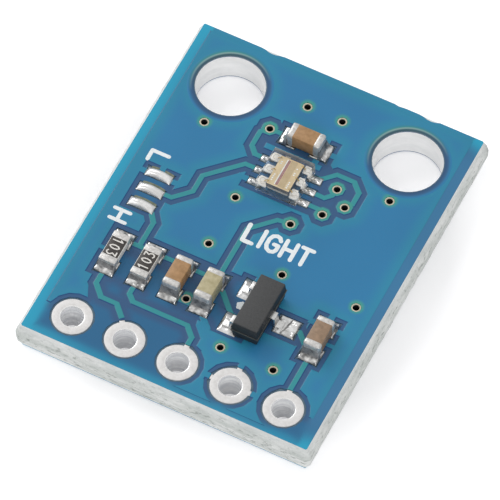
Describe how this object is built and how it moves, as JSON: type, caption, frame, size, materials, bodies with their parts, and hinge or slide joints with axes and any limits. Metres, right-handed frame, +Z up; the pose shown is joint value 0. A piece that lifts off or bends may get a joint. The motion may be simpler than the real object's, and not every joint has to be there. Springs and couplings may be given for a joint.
{
  "type": "light sensor module",
  "caption": "Small blue circuit board with a clear ambient light sensor, a voltage regulator, a header hole row and two mounting holes.",
  "frame": {"origin": "centre of the board's outline, on the underside where it rests", "axes": "+X along the header row, from the interrupt hole to the input hole; +Y from the header row towards the mounting holes; +Z up, out of the face with the parts"},
  "size_m": [0.0142, 0.0182, 0.0027],
  "materials": {
    "laminate": "glass-epoxy laminate, pale, with rough snapped edges",
    "solder_mask": "blue solder mask, glossy",
    "copper": "copper tracks and ground copper, covered by the mask",
    "tinned_plating": "dull tinned plating of rings and barrels",
    "solder": "bright reflowed solder",
    "terminal": "tinned chip terminals and leads",
    "resistor_ceramic": "white alumina",
    "overcoat": "dark glaze over the resistive film",
    "capacitor_orange": "orange-tan fired ceramic",
    "capacitor_khaki": "khaki fired ceramic",
    "capacitor_brown": "brown fired ceramic",
    "moulding": "dark epoxy moulding",
    "sensor_frame": "silver-plated lead frame",
    "die": "polished silicon die with a metal pattern",
    "bond_wire": "gold bond wire",
    "resin": "clear epoxy moulding"
  },
  "bodies": {
    "root": {"address_track": "copper", "bulk_capacitor_ceramic": "capacitor_khaki", "bulk_capacitor_solder": "solder", "bulk_capacitor_terminals": "terminal", "clock_pull_up_ceramic": "resistor_ceramic", "clock_pull_up_overcoat": "overcoat", "clock_pull_up_solder": "solder", "clock_pull_up_terminals": "terminal", "data_pull_up_ceramic": "resistor_ceramic", "data_pull_up_overcoat": "overcoat", "data_pull_up_solder": "solder", "data_pull_up_terminals": "terminal", "ground_pour_top": "copper", "ground_pour_under": "copper", "header_sleeve_clock": "tinned_plating", "header_sleeve_data": "tinned_plating", "header_sleeve_ground": "tinned_plating", "header_sleeve_input": "tinned_plating", "header_sleeve_interrupt": "tinned_plating", "input_capacitor_ceramic": "capacitor_brown", "input_capacitor_solder": "solder", "input_capacitor_terminals": "terminal", "input_track": "copper", "int_track_under": "copper", "jumper_solder": "solder", "laminate": "laminate", "output_capacitor_ceramic": "capacitor_orange", "output_capacitor_solder": "solder", "output_capacitor_terminals": "terminal", "regulator_body": "moulding", "regulator_ground_lead": "terminal", "regulator_input_lead": "terminal", "regulator_output_lead": "terminal", "regulator_solder": "solder", "scl_track": "copper", "scl_track_under": "copper", "sda_track": "copper", "sda_track_under": "copper", "sensor_bond_wires": "bond_wire", "sensor_capacitor_ceramic": "capacitor_orange", "sensor_capacitor_solder": "solder", "sensor_capacitor_terminals": "terminal", "sensor_die": "die", "sensor_leads": "sensor_frame", "sensor_paddle": "sensor_frame", "sensor_resin": "resin", "sensor_signal_tracks": "copper", "sensor_solder": "solder", "sensor_supply_track": "copper", "solder_mask_top": "solder_mask", "solder_mask_under": "solder_mask", "supply_track": "copper", "supply_track_under": "copper", "via_barrels": "tinned_plating"}
  },
  "joints": []
}
